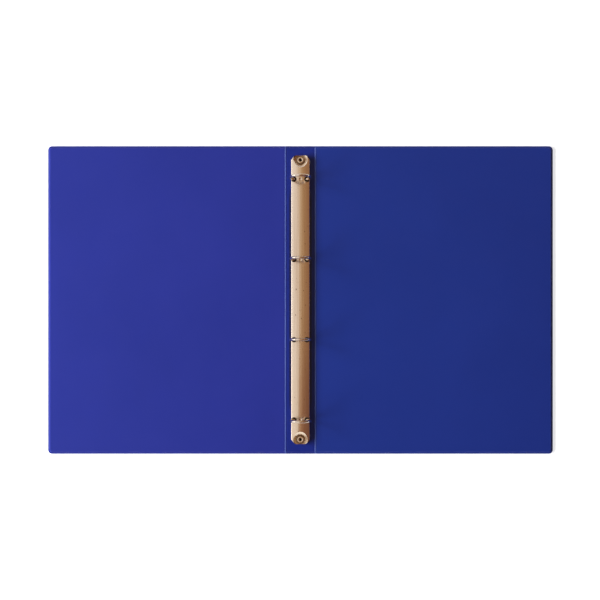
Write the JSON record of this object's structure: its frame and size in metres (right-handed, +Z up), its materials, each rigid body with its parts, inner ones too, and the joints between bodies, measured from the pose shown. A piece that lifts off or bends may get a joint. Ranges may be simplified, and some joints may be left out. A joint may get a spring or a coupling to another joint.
{
  "type": "ring binder",
  "caption": "Vinyl-covered A4 ring binder lying open, with a narrow spine, two stiff hinged covers and a riveted metal mechanism whose round rings pull apart to take punched pages.",
  "frame": {"origin": "middle of the spine's underside, on the surface the open binder rests on", "axes": "+X across the open covers towards the back cover, +Y along the spine towards the upper end, +Z up out of the inside face"},
  "size_m": [0.507, 0.309, 0.0255],
  "materials": {
    "vinyl_inside": "satin",
    "vinyl_outside": "satin",
    "greyboard": "matte",
    "nickel_plate": "satin nickel",
    "nickel_wire": "bright nickel",
    "spring_steel": "satin nickel",
    "rivet_steel": "satin nickel"
  },
  "bodies": {
    "spine": {"spine_board": "greyboard", "spine_inner_skin": "vinyl_inside", "spine_outer_skin": "vinyl_outside", "front_hinge_seam": "vinyl_inside", "back_hinge_seam": "vinyl_inside", "ring_plate": "nickel_plate", "upper_rivet": "rivet_steel", "lower_rivet": "rivet_steel"},
    "front_cover": {"front_board": "greyboard", "front_inner_skin": "vinyl_inside", "front_outer_skin": "vinyl_outside"},
    "back_cover": {"back_board": "greyboard", "back_inner_skin": "vinyl_inside", "back_outer_skin": "vinyl_outside"},
    "left_rings": {"left_hinge_blade": "spring_steel", "ring_1_left": "nickel_wire", "ring_2_left": "nickel_wire", "ring_3_left": "nickel_wire", "ring_4_left": "nickel_wire"},
    "right_rings": {"right_hinge_blade": "spring_steel", "ring_1_right": "nickel_wire", "ring_2_right": "nickel_wire", "ring_3_right": "nickel_wire", "ring_4_right": "nickel_wire"}
  },
  "joints": [
    {"name": "front_cover_hinge", "type": "hinge", "parent": "spine", "child": "front_cover", "pos_m": [-0.015, 0, 0.0013], "axis": [0, 1, 0], "range_deg": [-90, 90]},
    {"name": "back_cover_hinge", "type": "hinge", "parent": "spine", "child": "back_cover", "pos_m": [0.015, 0, 0.0013], "axis": [0, -1, 0], "range_deg": [-90, 90]},
    {"name": "ring_opening", "type": "hinge", "parent": "spine", "child": "right_rings", "pos_m": [0.00842, 0, 0.00428], "axis": [0, 1, 0], "range_deg": [0, 12]},
    {"name": "left_ring_opening", "type": "hinge", "parent": "spine", "child": "left_rings", "pos_m": [-0.00842, 0, 0.00428], "axis": [0, -1, 0], "range_deg": [0, 12]}
  ],
  "couplings": [
    {"joint": "left_ring_opening", "follows": "ring_opening", "ratio": 1}
  ]
}
